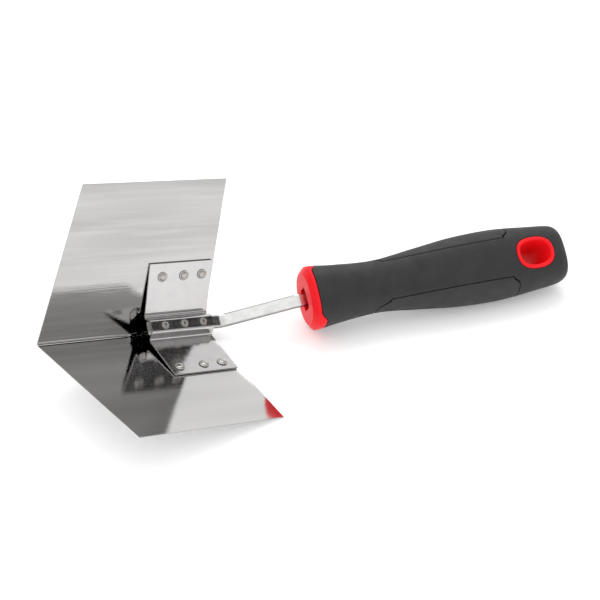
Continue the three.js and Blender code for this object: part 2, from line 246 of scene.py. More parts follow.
def cut(made, cutters):
    """Takes the cutters' space out of a piece and removes the cutters."""
    for cutter in cutters:
        boolean = made.modifiers.new("cut", "BOOLEAN")
        boolean.operation = "DIFFERENCE"
        boolean.solver = "EXACT"
        boolean.object = cutter
    settled(made)
    for cutter in cutters:
        bpy.data.objects.remove(cutter)
    return made


def round_edges(made, width, limit=40):
    """Rounds the edges of a piece that are sharper than a limit in degrees."""
    bevel = made.modifiers.new("edges", "BEVEL")
    bevel.width = width * MM
    bevel.segments = 3
    bevel.limit_method = "ANGLE"
    bevel.angle_limit = math.radians(limit)
    return settled(made)


def shade(made, limit=50):
    """Shades a piece smooth, with its flat faces kept flat and its sharp edges sharp."""
    made.data.polygons.foreach_set("use_smooth", [True] * len(made.data.polygons))
    made.data.set_sharp_from_angle(angle=math.radians(limit))
    weighted = made.modifiers.new("normals", "WEIGHTED_NORMAL")
    weighted.keep_sharp = True
    weighted.weight = 80
    return settled(made)


def finish_piece(made, material, slot, *nodes):
    """Gives a piece its finish, its body and the CAD nodes that it stands for."""
    made.data.materials.clear()
    made.data.materials.append(material)
    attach(made, "root")
    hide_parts(*nodes)


def bent_line(points, bend, steps):
    """Points and left-hand normals along straight legs that are joined by arcs of the bend radius."""
    corners = [np.array(p, float) for p in points]
    legs = [b - a for a, b in zip(corners, corners[1:])]
    legs = [leg / np.linalg.norm(leg) for leg in legs]
    side = [np.array((-leg[1], leg[0])) for leg in legs]
    line = [(corners[0], side[0])]
    for i, corner in enumerate(corners[1:-1]):
        turn = math.atan2(legs[i] @ side[i + 1] * -1, legs[i] @ legs[i + 1])
        start = corner - legs[i] * bend * math.tan(abs(turn) / 2)
        middle = start + side[i] * math.copysign(bend, turn)
        for step in range(steps + 1):
            angle = turn * step / steps
            normal = math.cos(angle) * side[i] - math.sin(angle) * legs[i]
            line.append((middle - normal * math.copysign(bend, turn), normal))
    line.append((corners[-1], side[-1]))
    return line


def strip_outline(points, bend, thickness, steps=10):
    """The closed outline of a bent strip, half its thickness to each side of the line."""
    line = bent_line(points, bend, steps)
    one_side = [p + n * thickness / 2 for p, n in line]
    other_side = [p - n * thickness / 2 for p, n in reversed(line)]
    return one_side + other_side


# ------------------------------------------------------------------ rivets

def bracket_half():
    """The middle line of half the bracket: web, foot of its side, free edge of its flange."""
    middle = BRACKET_SHEET / 2
    return [
        (WEB_HALF_WIDTH, WEB_TOP - middle),
        (FOOT_HALF_WIDTH, FOOT_TOP - middle),
        tuple(on_wing(1, FLANGE_EDGE, GAP + middle)),
    ]


def flange_slope():
    """The flange lifts a little off the wing towards the web, so it slopes less than the wing."""
    _, foot, edge = bracket_half()
    return math.atan2(edge[1] - foot[1], edge[0] - foot[0])


def turned_ring(radius, height, place):
    """A circle about the z axis of a place."""
    angles = [2 * math.pi * i / TURNED_SIDES for i in range(TURNED_SIDES)]
    return [place @ Vector((radius * math.cos(a), radius * math.sin(a), height)) for a in angles]


def turned(name, outline, place):
    """A solid of revolution about z, from (radius, height) points, in a place given in millimetres."""
    return loft(name, [turned_ring(max(r, PIN_RADIUS), h, place) for r, h in outline], TOOL)


def wing_place(row, distance):
    """Where a rivet stands on a wing: its z axis is square to the bracket's flange."""
    foot = on_wing(row["side"], row["line"], 0)
    tilt = row["side"] * flange_slope()
    return (Matrix.Translation((BRACKET_FRONT + distance, foot[0], foot[1]))
            @ Matrix.Rotation(tilt, 4, "X"))


def tang_place(distance):
    """Where a rivet stands on the web: its z axis is the tool's, through the middle plane."""
    return Matrix.Translation((BRACKET_FRONT + distance, 0, 0))


def head_outline(head, seat):
    """A rolled ring at the foot of a low, nearly flat dome, which start at the same height."""
    radius, height = head["radius"], head["height"]
    ring, ring_steps, dome_steps = 0.17 * radius, 6, 8
    foot_share, ring_share, flatness = 0.3, 0.25, 0.45
    outline = [(STEM_RADIUS, seat), (radius - RIVET_EDGE, seat), (radius, seat + RIVET_EDGE)]
    for step in range(ring_steps + 1):
        angle = math.pi * step / ring_steps
        outline.append((radius - ring + ring * math.cos(angle),
                        seat + foot_share * height + ring_share * height * math.sin(angle)))
    dome = radius - 2 * ring
    for step in range(1, dome_steps + 1):
        angle = math.pi / 2 * step / dome_steps
        rise = foot_share + (1 - foot_share) * math.sin(angle) ** flatness
        outline.append((dome * math.cos(angle), seat + height * rise))
    return outline


def wing_rivet(name, row, distance):
    stem = [(0, -SHEET), (STEM_RADIUS - RIVET_EDGE, -SHEET), (STEM_RADIUS, RIVET_EDGE - SHEET)]
    outline = stem + head_outline(WING_HEAD, FLANGE_SEAT)
    return shade(turned(name, outline, wing_place(row, distance)))


def tang_rivet(name, distance):
    seat = WEB_TOP + GAP
    foot = BAR_HEIGHT - BAR_THICKNESS / 2 - GAP
    upset = [
        (0, foot - UPSET_HEIGHT),
        (UPSET_RADIUS - 0.65, foot - UPSET_HEIGHT),
        (UPSET_RADIUS - 0.15, foot - 0.3),
        (UPSET_RADIUS, foot),
        (STEM_RADIUS, foot),
    ]
    return shade(turned(name, upset + head_outline(TANG_HEAD, seat), tang_place(distance)))


def hole_cutters(places, bottom, top):
    """Cutters for the rivets' holes, from one height to another in each rivet's place."""
    radius = STEM_RADIUS + GAP
    return [turned("cutter", [(radius, bottom), (radius, top)], place) for place in places]


def wing_places():
    return [wing_place(row, distance) for row in WING_ROWS.values() for distance in row["places"]]


def tang_places():
    return [tang_place(distance) for distance in TANG_RIVETS]


# ------------------------------------------------------------------ sheet metal and shank

def drawn_out(name, outline, fronts, rear):
    """An outline in the y-z plane drawn out along x, from a front of its own at each point."""
    front_ring = [(front, y, z) for front, (y, z) in zip(fronts, outline)]
    rear_ring = [(rear, y, z) for y, z in outline]
    return loft(name, [front_ring, rear_ring], TOOL)


def blade():
    crease = (0, -SHEET / 2 / math.sin(WING_ANGLE))
    ends = [on_wing(side, WING_WIDTH, -SHEET / 2) for side in (-1, 1)]
    outline = strip_outline([ends[0], crease, ends[1]], BLADE_BEND, SHEET)
    height = WING_WIDTH * math.cos(WING_ANGLE)
    fronts = [max(0.0, NOSE_SLANT * z / height) for _, z in outline]
    sheet = drawn_out("blade_sheet", outline, fronts, BLADE_LENGTH)
    cut(sheet, hole_cutters(wing_places(), bottom=-3, top=3))
    return shade(round_edges(sheet, 0.12), 40)


def bracket():
    half = bracket_half()
    mirrored = [(-y, z) for y, z in reversed(half)]
    outline = strip_outline(mirrored + half, BRACKET_BEND, BRACKET_SHEET)
    fronts = [BRACKET_FRONT] * len(outline)
    saddle = drawn_out("saddle_bracket", outline, fronts, BRACKET_REAR)
    cut(saddle, hole_cutters(wing_places(), bottom=-3, top=6))
    cut(saddle, hole_cutters(tang_places(), bottom=10, top=20))
    return shade(round_edges(saddle, 0.16), 40)


def from_handle(along, above):
    """A point (x, z) of the tool's middle plane from its place in the handle's frame."""
    return np.array((
        HANDLE_FRONT.x + along * math.cos(HANDLE_PITCH) - above * math.sin(HANDLE_PITCH),
        HANDLE_FRONT.z + along * math.sin(HANDLE_PITCH) + above * math.cos(HANDLE_PITCH)))


def bar_section(steps=5):
    """Points (across, up) of the bar's section, a rectangle with rounded corners."""
    section = []
    for quarter in range(4):
        across = (BAR_WIDTH / 2 - BAR_EDGE) * (1 if quarter in (0, 3) else -1)
        up = (BAR_THICKNESS / 2 - BAR_EDGE) * (1 if quarter in (0, 1) else -1)
        for step in range(steps + 1):
            angle = math.pi / 2 * (quarter + step / steps)
            section.append((across + BAR_EDGE * math.cos(angle), up + BAR_EDGE * math.sin(angle)))
    return section


def shank():
    """The bar: a tang under the bracket's web, a crank down, a slope up and a tang in the handle."""
    bend_steps = 14
    line = bent_line([
        (BRACKET_FRONT, BAR_HEIGHT),
        (CRANK_FRONT, BAR_HEIGHT),
        from_handle(CRANK_REAR, BAR_OFFSET),
        from_handle(TANG_DEPTH, BAR_OFFSET),
    ], BAR_BEND, bend_steps)
    rings = []
    for point, normal in line:
        rings.append([(point[0] + normal[0] * up, across, point[1] + normal[1] * up)
                      for across, up in bar_section()])
    bar = loft("shank_bar", rings, TOOL)
    cut(bar, hole_cutters(tang_places(), bottom=5, top=20))
    return shade(bar)


# ------------------------------------------------------------------ handle

def form_table(steps=60):
    """The handle's form as a fine table, from a Catmull-Rom curve through its stations."""
    stations = np.array(HANDLE_FORM, float)
    first = 2 * stations[0] - stations[1]
    last = 2 * stations[-1] - stations[-2]
    knots = np.vstack((first, stations, last))
    table = []
    for i in range(1, len(knots) - 2):
        for t in np.arange(steps) / steps:
            a, b, c, d = knots[i - 1:i + 3]
            table.append(0.5 * (2 * b + (c - a) * t + (2 * a - 5 * b + 4 * c - d) * t ** 2
                                + (3 * b - a - 3 * c + d) * t ** 3))
    table.append(stations[-1])
    return np.array(table)


FORM = form_table()


def half_sizes(distance):
    """Half width and half thickness of the handle at a distance from its front face."""
    return (float(np.interp(distance, FORM[:, 0], FORM[:, 1])),
            float(np.interp(distance, FORM[:, 0], FORM[:, 2])))


def power(value, exponent):
    """A power of a number's size, with the number's own sign."""
    return math.copysign(abs(value) ** exponent, value)


def superellipse(half_width, half_height, angle, squareness=SQUARENESS):
    """A point of an oval that is an ellipse at a squareness of 2, and squarer above that."""
    share = 2 / squareness
    return half_width * power(math.cos(angle), share), half_height * power(math.sin(angle), share)


def on_handle(distance, angle, inset=0.0):
    """A point of the handle's skin, set in from it by inset."""
    half_width, half_height = half_sizes(distance)
    y, z = superellipse(max(half_width - inset, LEAST_HALF_SIZE),
                        max(half_height - inset, LEAST_HALF_SIZE), angle)
    return (distance, y, z)


def top_of_handle(distance, y):
    """Height of the handle's top face above its axis."""
    half_width, half_height = half_sizes(distance)
    return half_height * (1 - min(abs(y) / half_width, 1) ** SQUARENESS) ** (1 / SQUARENESS)


def smooth(value):
    """A soft step, from 0 at 0 to 1 at 1."""
    value = min(max(value, 0.0), 1.0)
    return value * value * (3 - 2 * value)


def seam_angle(distance, offset=0.0):
    """Angle round the section at which the top face's pad seam runs; offset moves it outwards."""
    half_width, _ = half_sizes(distance)
    share = (distance - PAD_FRONT[1]) / (PAD_REAR[1] - PAD_FRONT[1])
    line = PAD_LINE[0] + (PAD_LINE[1] - PAD_LINE[0]) * min(max(share, 0), 1) + offset
    line = min(line, SEAM_LIMIT * half_width)
    return math.acos((line / half_width) ** (SQUARENESS / 2))


def nose_edge(angle):
    """Distance from the front face at which the red nose ends, which is further at the sides."""
    _, z = superellipse(*half_sizes(NOSE_SIDE), angle)
    share = (abs(z) - NOSE_STEP[0]) / (NOSE_STEP[1] - NOSE_STEP[0])
    return NOSE_SIDE + (NOSE_TOP - NOSE_SIDE) * smooth(share)


def pad_end(share, in_middle, at_seam):
    """Distance of a pad's slanted end on a line whose angle is a share of the seam's."""
    half_width, half_height = half_sizes(at_seam)
    seam = seam_angle(at_seam)
    y, _ = superellipse(half_width, half_height, seam * share)
    seam_y, _ = superellipse(half_width, half_height, seam)
    return at_seam + (in_middle - at_seam) * smooth((y - seam_y) / PAD_SLANT)


# ------------------------------------------------------------------ lines along the handle

# A line has an angle at each distance, a level of the recess's edge that it is on, and a share:
# how far it is from the middle of the side, at 0, to the seam, at 1.
Line = namedtuple("Line", "angle level share")
SIDE_LINES = 14
TOP_LINES = 16
RECESS_FLOOR = len(FILLET)      # the level below those of the recess's edge


def recess_line(share):
    """A line of the recess's floor, whose angle is a share of the seam's."""
    return Line(lambda distance: seam_angle(distance) * share, RECESS_FLOOR, share)


def seam_line(level):
    """A line of the recess's edge, at one of its levels."""
    back = FILLET[level][0]
    return Line(lambda distance: seam_angle(distance, -back), level, 1.0)


def top_line(share):
    """A line a share of the way from the recess's edge to the middle of the top face."""
    back = FILLET[0][0]
    return Line(lambda distance: seam_angle(distance, -back) * (1 - share) + math.pi / 2 * share,
                0, 1.0)


def quarter_lines():
    """The lines of one quarter of the section, from the middle of the side to that of the top."""
    recess = [recess_line(i / SIDE_LINES) for i in range(SIDE_LINES + 1)]
    seam = [seam_line(level) for level in reversed(range(RECESS_FLOOR))]
    top = [top_line(i / TOP_LINES) for i in range(1, TOP_LINES + 1)]
    return recess + seam + top


def turned_line(line, start, sign):
    """A line in another quarter, whose angle is start plus or minus the line's own."""
    return Line(lambda distance: start + sign * line.angle(distance), line.level, line.share)


def section_lines():
    """The lines of the whole section, in order round it: quarters mirrored in the two axes."""
    first = quarter_lines()
    second = [turned_line(line, math.pi, -1) for line in reversed(first[:-1])]
    third = [turned_line(line, math.pi, 1) for line in first[1:]]
    fourth = [turned_line(line, 2 * math.pi, -1) for line in reversed(first[1:-1])]
    return first + second + third + fourth


def recess_depth(level):
    """How far below the skin a level of the recess's edge lies, or its floor."""
    return PAD_WALL + GAP if level == RECESS_FLOOR else FILLET[level][1]


# Distances along the handle, each as a function of a line

def at(distance):
    return lambda line: distance


def shifted(place, shift):
    return lambda line: place(line) + shift


def between(start, end, share):
    return lambda line: start(line) * (1 - share) + end(line) * share


def sleeve_front(line):
    """Where the sleeve starts, a gap behind the nose."""
    return nose_edge(line.angle(NOSE_SIDE)) + GAP


def recess_front(line):
    return pad_end(line.share, *PAD_FRONT)


def recess_rear(line):
    return pad_end(line.share, *PAD_REAR)


# ------------------------------------------------------------------ sleeve and pads

# A ring of the sleeve has a place on each line, a level of the recess's edge and an inset all round
Ring = namedtuple("Ring", "place level inset")


def cavity_rings():
    """The space for the core, from its end to the front, and the sleeve's rounded front edge."""
    distances = (CORE_END + 0.5, 110, 90, 70, 50, 30, 20)
    cavity = [Ring(at(distance), 0, SLEEVE_WALL) for distance in distances]
    front = [Ring(sleeve_front, 0, SLEEVE_WALL)]
    edge = [Ring(shifted(sleeve_front, back), 0, inset) for back, inset in reversed(FILLET)]
    return cavity + front + edge


def skin_rings():
    """The outside, from the front to the butt: neck, recess with its two ends, and butt."""
    edge = FILLET[0][0]
    neck_start, neck_end = shifted(sleeve_front, edge), shifted(recess_front, -edge)
    rings = []
    for step in range(1, NECK_STEPS):
        rings.append(Ring(between(neck_start, neck_end, step / NECK_STEPS), 0, 0.0))
    for level, (back, _) in enumerate(FILLET):
        rings.append(Ring(shifted(recess_front, -back), level, 0.0))
    for step in range(RECESS_STEPS + 1):
        place = between(recess_front, recess_rear, step / RECESS_STEPS)
        rings.append(Ring(place, RECESS_FLOOR, 0.0))
    for level in reversed(range(RECESS_FLOOR)):
        rings.append(Ring(shifted(recess_rear, FILLET[level][0]), level, 0.0))
    butt = [distance for distance in FORM[::BUTT_STRIDE, 0] if distance > BUTT_FRONT]
    for distance in butt + [FORM[-1, 0]]:
        rings.append(Ring(at(distance), 0, 0.0))
    return rings


def sleeve():
    """The soft sleeve, with the cavity for the core, the two pads' recesses and the liner's hole."""
    lines = section_lines()
    rings = []
    for place, level, inset in cavity_rings() + skin_rings():
        ring = []
        for line in lines:
            distance = place(line)
            depth = inset + recess_depth(min(level, line.level))
            ring.append(on_handle(distance, line.angle(distance), depth))
        rings.append(ring)
    made = loft("grip_sleeve_skin", rings, HANDLE)
    cut(made, [liner_cutter()])
    return shade(made)


# A line of a pad has a share, which is -1 at the bottom seam and 1 at the top one, a margin that
# it keeps from the seam, and a depth below the skin.
PadLine = namedtuple("PadLine", "share back depth")


def pad_lines():
    """The lines round a pad: over its outer face from seam to seam, and back along its foot."""
    bottom = [PadLine(-1.0, back, depth) for back, depth in PAD_FILLET]
    shares = [i / SIDE_LINES for i in range(1 - SIDE_LINES, SIDE_LINES)]
    face = [PadLine(share, PAD_FILLET[-1][0], 0.0) for share in shares]
    top = [PadLine(1.0, back, depth) for back, depth in reversed(PAD_FILLET)]
    outer = bottom + face + top
    inner = [PadLine(share, back, PAD_WALL) for share, back, _ in reversed(outer[1:-1])]
    return outer + inner


def pad_ring(place, inset, side):
    """A ring of a pad at a place on each line, set in from the skin by at least inset."""
    ring = []
    for line in pad_lines():
        distance = place(line)
        angle = seam_angle(distance, GAP + line.back) * line.share
        _, y, z = on_handle(distance, angle, max(line.depth, inset))
        ring.append((distance, side * y, z))
    return ring


def side_pad(name, side):
    """A pad that wraps round one side of the handle, from its top seam to its bottom seam."""
    front, rear = shifted(recess_front, GAP), shifted(recess_rear, -GAP)
    edge = PAD_FILLET[-1][0]
    face_front, face_rear = shifted(front, edge), shifted(rear, -edge)
    rings = [pad_ring(shifted(front, back), depth, side) for back, depth in PAD_FILLET]
    for step in range(1, PAD_STEPS):
        rings.append(pad_ring(between(face_front, face_rear, step / PAD_STEPS), 0.0, side))
    rings += [pad_ring(shifted(rear, -back), depth, side) for back, depth in reversed(PAD_FILLET)]
    return shade(loft(name, rings, HANDLE))


# ------------------------------------------------------------------ hang hole and core

def oval(length, width, angle):
    """A point (x, y) of an oval round the hang hole, as square as the handle's own section."""
    x, y = superellipse(length / 2, width / 2, angle)
    return HOLE_AT + x, y


def liner_cutter():
    """The straight oval space in the sleeve that the hang hole's liner stands in."""
    length, width = (size + 2 * LINER_RIM + 2 * GAP for size in HOLE_MOUTH)
    rings = []
    for height in (-CUTTER_REACH, CUTTER_REACH):
        ring = []
        for i in range(HOLE_CUTTER_SIDES):
            x, y = oval(length, width, 2 * math.pi * i / HOLE_CUTTER_SIDES)
            ring.append((x, y, height))
        rings.append(ring)
    return loft("cutter", rings, HANDLE)


def liner_points(size, angle, edge, levels, face):
    """Points of the liner on the top face, at 1, or the underside, at -1, outside an oval's edge."""
    points = []
    for out, up in levels:
        x, y = oval(size[0] + 2 * (edge + out), size[1] + 2 * (edge + out), angle)
        points.append((x, y, math.copysign(top_of_handle(x, y) + up, face)))
    return points


def hang_hole_liner():
    """The red liner of the hang hole: a raised rolled rim, a funnel through the handle, a flat foot."""
    foot_rim = LINER_RIM + (HOLE_MOUTH[0] - HOLE_FOOT[0]) / 2
    rings = []
    for i in range(LINER_SIDES):
        angle = 2 * math.pi * i / LINER_SIDES
        mouth = (liner_points(HOLE_MOUTH, angle, LINER_RIM, RIM_OUTSIDE, 1)
                 + liner_points(HOLE_MOUTH, angle, 0.0, RIM_INSIDE, 1))
        foot = (liner_points(HOLE_FOOT, angle, 0.0, FOOT_INSIDE, -1)
                + liner_points(HOLE_FOOT, angle, foot_rim, FOOT_OUTSIDE, -1))
        funnel = []
        for step in range(1, FUNNEL_STEPS):
            share = step / FUNNEL_STEPS
            funnel.append(tuple(a * (1 - share) + b * share for a, b in zip(mouth[-1], foot[0])))
        rings.append(mouth + funnel + foot)
    return shade(loft("hang_hole_liner", rings, HANDLE, around=True), 60)


CORE_ANGLES = [2 * math.pi * i / CORE_SIDES for i in range(CORE_SIDES)]


def flat_ring(distance, half_sizes_there, squareness, lift=0.0):
    """A ring of the core square to the handle's axis."""
    ring = []
    for angle in CORE_ANGLES:
        y, z = superellipse(*half_sizes_there, angle, squareness)
        ring.append((distance, y, z + lift))
    return ring


def grown(sizes, out):
    """Half sizes with the same amount added to each."""
    return [size + out for size in sizes]


def inside_rings():
    """The bore that holds the tang, and the slot with its rounded edge."""
    bore = grown((BAR_WIDTH / 2, BAR_THICKNESS / 2), GAP)
    slot = (SLOT["width"] / 2, SLOT["height"] / 2)
    rings = [flat_ring(distance, bore, BORE_SQUARENESS, BAR_OFFSET)
             for distance in (TANG_DEPTH + GAP, SLOT["depth"])]
    rings.append(flat_ring(SLOT["depth"], slot, SLOT_SQUARENESS))
    for distance, out, squareness in SLOT_EDGE:
        rings.append(flat_ring(distance, grown(slot, out), squareness))
    return rings


def face_rings():
    """The front face with its rounded edge, and the chamfer behind it."""
    face, shoulder = half_sizes(0), half_sizes(NOSE_CHAMFER)
    middle = [FACE_MIDDLE * size for size in face]
    rings = [flat_ring(0.0, middle, MIDDLE_SQUARENESS)]
    for distance, out in FACE_EDGE:
        rings.append(flat_ring(distance, grown(face, out), FACE_SQUARENESS))
    for back, in_width, in_height in SHOULDER_EDGE:
        sizes = (shoulder[0] - in_width, shoulder[1] - in_height)
        rings.append(flat_ring(NOSE_CHAMFER - back, sizes, SQUARENESS))
    return rings


def nose_rings():
    """The nose's skin and its rounded rear edge, which follow the step in its end."""
    rings = []
    for share in (0.1, 0.55):       # of the way from the chamfer to the rounded edge
        ring = []
        for angle in CORE_ANGLES:
            edge = nose_edge(angle) - FILLET[0][0]
            ring.append(on_handle(NOSE_CHAMFER + (edge - NOSE_CHAMFER) * share, angle))
        rings.append(ring)
    for back, inset in FILLET:
        rings.append([on_handle(nose_edge(angle) - back, angle, inset) for angle in CORE_ANGLES])
    return rings


def rod_rings():
    """The rod inside the sleeve, from the nose's rear to the core's end."""
    inset = SLEEVE_WALL + GAP
    rings = [[on_handle(nose_edge(angle), angle, inset) for angle in CORE_ANGLES]]
    for distance in (15, 25, 40, 60, 80, 100, CORE_END):
        rings.append([on_handle(distance, angle, inset) for angle in CORE_ANGLES])
    return rings


def handle_core():
    """The red core: tang bore, slot, front face, nose, and the rod inside the sleeve."""
    rings = inside_rings() + face_rings() + nose_rings() + rod_rings()
    return shade(loft("core_and_nose", rings, HANDLE))


# ------------------------------------------------------------------ finishes

# The Mix node's sockets when it mixes colours
MIX_SHARE = 0
MIX_FIRST = 6
MIX_SECOND = 7
MIX_RESULT = 2


class Finish:
    """A Principled material whose fine detail comes from textures in the tool's or handle's frame."""

    def __init__(self, name, color, roughness, metallic=0.0, axes=TOOL, **values):
        self.material = bpy.data.materials.new(name)
        self.material.use_nodes = True
        self.nodes = self.material.node_tree.nodes
        self.links = self.material.node_tree.links
        self.shader = self.nodes["Principled BSDF"]
        self.set(Metallic=metallic, **values)
        self.shader.inputs["Base Color"].default_value = (*color, 1)
        self.shader.inputs["Roughness"].default_value = roughness
        self.color = color
        self.roughness = roughness
        self.normal = None
        self.painted = None
        own_axes = self.nodes.new("ShaderNodeMapping")
        own_axes.vector_type = "TEXTURE"
        own_axes.inputs["Location"].default_value = axes.to_translation()
        own_axes.inputs["Rotation"].default_value = axes.to_euler()
        coordinates = self.nodes.new("ShaderNodeTexCoord")
        self.surface_normal = coordinates.outputs["Normal"]
        self.links.new(coordinates.outputs["Object"], own_axes.inputs["Vector"])
        self.place = own_axes.outputs["Vector"]

    def set(self, **values):
        """Sets the shader's inputs, with their names' spaces given as underscores."""
        for name, value in values.items():
            self.shader.inputs[name.replace("_", " ")].default_value = value

    def noise(self, scale, detail=4.0, stretch=(1, 1, 1)):
        """Noise from 0 to 1; scale is in features per metre, and stretch slows an axis down."""
        mapping = self.nodes.new("ShaderNodeMapping")
        mapping.inputs["Scale"].default_value = [scale / s for s in stretch]
        texture = self.nodes.new("ShaderNodeTexNoise")
        texture.inputs["Scale"].default_value = 1.0
        texture.inputs["Detail"].default_value = detail
        self.links.new(self.place, mapping.inputs["Vector"])
        self.links.new(mapping.outputs["Vector"], texture.inputs["Vector"])
        return texture.outputs["Fac"]

    def cells(self, scale):
        """The distance to the nearest of many scattered points, as on a spark-eroded mould."""
        texture = self.nodes.new("ShaderNodeTexVoronoi")
        texture.inputs["Scale"].default_value = scale
        self.links.new(self.place, texture.inputs["Vector"])
        return texture.outputs["Distance"]

    def ranged(self, value, low, high, start=0.3, end=0.7):
        """Maps a texture's values from start..end to low..high."""
        span = self.nodes.new("ShaderNodeMapRange")
        span.inputs["From Min"].default_value = start
        span.inputs["From Max"].default_value = end
        span.inputs["To Min"].default_value = low
        span.inputs["To Max"].default_value = high
        self.links.new(value, span.inputs["Value"])
        return span.outputs["Result"]

    def facing(self, direction):
        """How squarely the surface faces along a direction of the row frame, either way: 0 to 1."""
        dot = self.nodes.new("ShaderNodeVectorMath")
        dot.operation = "DOT_PRODUCT"
        dot.inputs[1].default_value = direction
        size = self.nodes.new("ShaderNodeMath")
        size.operation = "ABSOLUTE"
        self.links.new(self.surface_normal, dot.inputs[0])
        self.links.new(dot.outputs["Value"], size.inputs[0])
        return size.outputs["Value"]

    def mottle(self, value, other, start=0.3, end=0.7):
        """Lets a texture mix the colour, as painted so far, with another one."""
        mix = self.nodes.new("ShaderNodeMix")
        mix.data_type = "RGBA"
        mix.inputs[MIX_FIRST].default_value = (*self.color, 1)
        mix.inputs[MIX_SECOND].default_value = (*other, 1)
        if self.painted is not None:
            self.links.new(self.painted, mix.inputs[MIX_FIRST])
        self.links.new(self.ranged(value, 0, 1, start, end), mix.inputs[MIX_SHARE])
        self.painted = mix.outputs[MIX_RESULT]
        self.links.new(self.painted, self.shader.inputs["Base Color"])

    def polish(self, value, spread):
        """Lets a texture vary the roughness by spread to both sides."""
        low, high = self.roughness - spread, self.roughness + spread
        self.links.new(self.ranged(value, low, high), self.shader.inputs["Roughness"])

    def bump(self, value, height, strength=1.0):
        """Adds relief of a height in millimetres, over what is there already."""
        bump = self.nodes.new("ShaderNodeBump")
        bump.inputs["Strength"].default_value = strength
        bump.inputs["Distance"].default_value = height * MM
        self.links.new(value, bump.inputs["Height"])
        if self.normal is not None:
            self.links.new(self.normal, bump.inputs["Normal"])
        self.normal = bump.outputs["Normal"]
        self.links.new(self.normal, self.shader.inputs["Normal"])


def blade_steel():
    """Polished sheet: rolling grain along the crease, slight waves across it, faint scuffs, and broad
    bands painted darker as painted reflection.

    The left wing is painted darker, to match how dark a studio it mirrors in the photo.
    """
    steel = Finish("blade_steel", (0.69, 0.68, 0.675), 0.07, metallic=1.0)
    steel.polish(steel.noise(900, 6, stretch=(60, 1, 1)), 0.03)
    left_wing = TOOL.to_3x3() @ Vector((0, -math.cos(WING_ANGLE), math.sin(WING_ANGLE)))
    steel.mottle(steel.facing(left_wing), (0.345, 0.34, 0.335), 0.5, 0.9)
    # Broad bands across the wings painted darker: a painted reflection of darker parts of the studio,
    # not a finish of the steel
    steel.mottle(steel.noise(38, 1, stretch=(7, 1, 1)), (0.56, 0.555, 0.55), 0.35, 0.75)
    steel.mottle(steel.noise(260, 5, stretch=(18, 1, 1)), (0.58, 0.575, 0.57), 0.45, 1.05)
    steel.bump(steel.noise(40, 1, stretch=(8, 1, 1)), 0.16)
    steel.bump(steel.noise(2600, 2, stretch=(90, 1, 1)), 0.010)
    return steel.material


def bracket_steel():
    """Pressed sheet, bright, with die marks across the bends."""
    steel = Finish("bracket_steel", (0.58, 0.57, 0.565), 0.145, metallic=1.0)
    steel.polish(steel.noise(420, 5), 0.04)
    steel.mottle(steel.noise(160, 5), (0.54, 0.53, 0.53))
    steel.bump(steel.noise(90, 2), 0.05)
    steel.bump(steel.noise(1800, 3, stretch=(1, 12, 12)), 0.003)
    return steel.material


def zinc_bar():
    """Zinc plate on drawn bar: bright satin faces with drawing lines, and sides painted dark as painted
    shade.
    """
    zinc = Finish("zinc_bar", (0.78, 0.78, 0.77), 0.20, metallic=1.0)
    zinc.polish(zinc.noise(500, 5, stretch=(6, 1, 1)), 0.06)
    zinc.mottle(zinc.noise(260, 5, stretch=(5, 1, 1)), (0.64, 0.64, 0.63))
    # The faces that look across the tool are painted dark: painted shade in place of the darker
    # reflection they show
    across = TOOL.to_3x3() @ Vector((0, 1, 0))
    zinc.mottle(zinc.facing(across), (0.20, 0.20, 0.195), 0.35, 0.9)
    zinc.bump(zinc.noise(1500, 3, stretch=(30, 1, 1)), 0.003)
    return zinc.material


def rivet_steel():
    """Formed heads: satin, slightly warm, with a little roughness from the set."""
    steel = Finish("rivet_steel", (0.46, 0.45, 0.43), 0.24, metallic=1.0)
    steel.polish(steel.noise(1500, 4), 0.06)
    steel.mottle(steel.noise(900, 4), (0.40, 0.39, 0.37))
    steel.bump(steel.noise(1200, 3), 0.008)
    return steel.material


def core_plastic():
    """Moulded plastic: semi-gloss, nearly even, with a faint orange-peel skin."""
    plastic = Finish("core_plastic", (0.90, 0.010, 0.017), 0.38, axes=HANDLE,
                     Specular_IOR_Level=0.16)
    plastic.polish(plastic.noise(700, 4), 0.06)
    plastic.mottle(plastic.noise(120, 3), (0.86, 0.009, 0.016))
    plastic.bump(plastic.noise(1400, 3), 0.004)
    return plastic.material


def grip_rubber():
    """Soft overmould: matt, dark, with a fine mould texture and slight handling polish."""
    rubber = Finish("grip_rubber", (0.018, 0.018, 0.0185), 0.58, axes=HANDLE,
                    Specular_IOR_Level=0.4)
    rubber.polish(rubber.noise(160, 4), 0.08)
    rubber.mottle(rubber.noise(90, 5), (0.024, 0.024, 0.025))
    rubber.bump(rubber.cells(2600), 0.03, 0.8)
    rubber.bump(rubber.noise(700, 3), 0.012)
    return rubber.material


def pad_rubber():
    """The side pads: the same overmould, with a coarser grain."""
    rubber = Finish("pad_rubber", (0.020, 0.020, 0.0205), 0.62, axes=HANDLE,
                    Specular_IOR_Level=0.45)
    rubber.polish(rubber.noise(200, 4), 0.07)
    rubber.mottle(rubber.noise(110, 5), (0.027, 0.027, 0.028))
    rubber.bump(rubber.cells(1700), 0.05, 0.9)
    rubber.bump(rubber.noise(800, 3), 0.015)
    return rubber.material


# ------------------------------------------------------------------ stage

BLADE_MIDDLE = TOOL @ (Vector((BLADE_LENGTH / 2, 0, WING_WIDTH / 3)) * MM)


def camera():
    """A camera at a distance from its aim, as far round and up as the photo's."""
    back = Vector((math.sin(AZIMUTH) * math.cos(ELEVATION), -math.cos(AZIMUTH) * math.cos(ELEVATION),
                   math.sin(ELEVATION)))
    made = bpy.data.objects.new("camera", bpy.data.cameras.new("camera"))
    made.data.lens = LENS
    made.data.sensor_width = 36
    made.data.clip_start = 0.01
    made.location = AIM + back * DISTANCE
    made.rotation_mode = "QUATERNION"
    made.rotation_quaternion = (-back).to_track_quat("-Z", "Y") @ Quaternion((0, 0, 1), ROLL)
    bpy.context.scene.collection.objects.link(made)
    bpy.context.scene.camera = made


